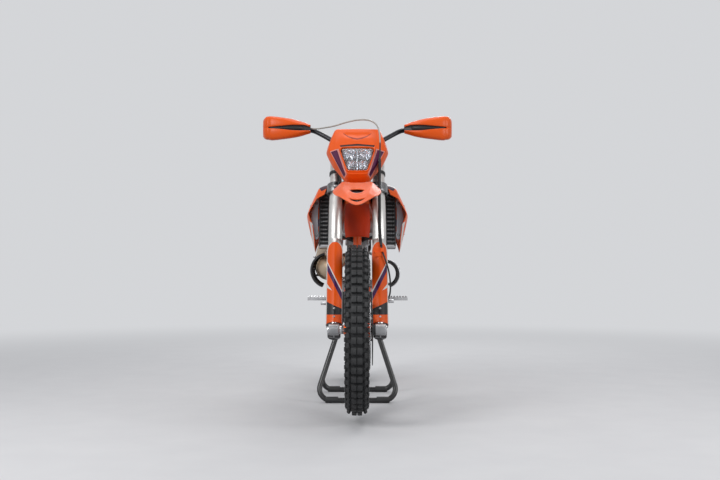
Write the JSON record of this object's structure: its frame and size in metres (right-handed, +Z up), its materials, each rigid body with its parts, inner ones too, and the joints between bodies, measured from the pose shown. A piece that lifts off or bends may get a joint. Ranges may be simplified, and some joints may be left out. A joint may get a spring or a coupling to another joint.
{
  "type": "enduro dirt bike on paddock stand",
  "caption": "Off-road motorcycle with knobbly tyres, raked fork, headlight mask, radiator shrouds and a tube stand under its cradle.",
  "frame": {"origin": "middle of the bike's plan outline, on the floor that the stand rests on", "axes": "+Z up, -Y forward, +X to the bike's left"},
  "size_m": [0.876, 2.242, 1.333],
  "materials": {
    "orange_paint": "satin",
    "orange_plastic": "gloss",
    "black_plastic": "matte",
    "silver_alloy": "satin",
    "cast_alloy": "cast",
    "bronze_alloy": "satin",
    "orange_alloy": "anodised",
    "black_alloy": "anodised",
    "steel": "brushed",
    "bare_pipe": "heat tinted",
    "fork_silver": "anodised",
    "rubber": "matte",
    "tyre_rubber": "matte",
    "seat_cover": "grained",
    "lens": "clear",
    "red_lens": "gloss",
    "black_paint": "gloss"
  },
  "bodies": {
    "chassis": {"main_frame": "orange_paint", "subframe": "black_plastic", "swingarm": "silver_alloy", "rear_axle": "steel", "shock_absorber": "steel", "crankcase": "cast_alloy", "cylinder": "cast_alloy", "clutch_cover": "bronze_alloy", "ignition_cover": "bronze_alloy", "front_sprocket": "steel", "drive_chain": "steel", "expansion_pipe": "bare_pipe", "silencer": "silver_alloy", "carburettor": "cast_alloy", "radiators": "black_alloy", "fuel_tank": "black_plastic", "seat": "seat_cover", "radiator_shrouds": "orange_plastic", "side_panels": "black_plastic", "rear_fender": "orange_plastic", "tail_lamp": "red_lens", "skid_plate": "black_plastic", "footpegs": "steel", "foot_levers": "steel", "rear_caliper": "black_alloy", "paddock_stand": "black_paint"},
    "steering": {"lower_clamp": "black_alloy", "upper_clamp": "black_alloy", "fork_outer_tubes": "fork_silver", "fork_legs": "silver_alloy", "front_axle": "steel", "fork_protectors": "orange_plastic", "front_fender": "orange_plastic", "headlight_mask": "orange_plastic", "headlamp": "lens", "handlebar": "black_alloy", "grips": "rubber", "control_levers": "black_alloy", "handguards": "orange_plastic", "instrument": "black_plastic", "brake_hose": "rubber", "front_caliper": "black_alloy", "disc_guard": "black_plastic"},
    "front_wheel": {"front_tyre": "tyre_rubber", "front_rim": "black_alloy", "front_hub": "orange_alloy", "front_disc": "steel"},
    "rear_wheel": {"rear_tyre": "tyre_rubber", "rear_rim": "black_alloy", "rear_hub": "orange_alloy", "rear_disc": "steel", "rear_sprocket": "orange_alloy"},
    "side_stand_body": {"side_stand": "black_paint"}
  },
  "joints": [
    {"name": "steering_turn", "type": "hinge", "parent": "chassis", "child": "steering", "pos_m": [0, -0.64999, 0.35457], "axis": [0, 0.4462, 0.8949], "range_deg": [-42, 42]},
    {"name": "front_wheel_spin", "type": "hinge", "parent": "steering", "child": "front_wheel", "pos_m": [0, -0.701, 0.38], "axis": [1, 0, 0], "continuous": true},
    {"name": "rear_wheel_spin", "type": "hinge", "parent": "chassis", "child": "rear_wheel", "pos_m": [0, 0.781, 0.37], "axis": [1, 0, 0], "continuous": true},
    {"name": "side_stand_fold", "type": "hinge", "parent": "chassis", "child": "side_stand_body", "pos_m": [0.134, 0.17, 0.416], "axis": [-0.9703, 0, -0.2419], "range_deg": [0, 95]}
  ]
}
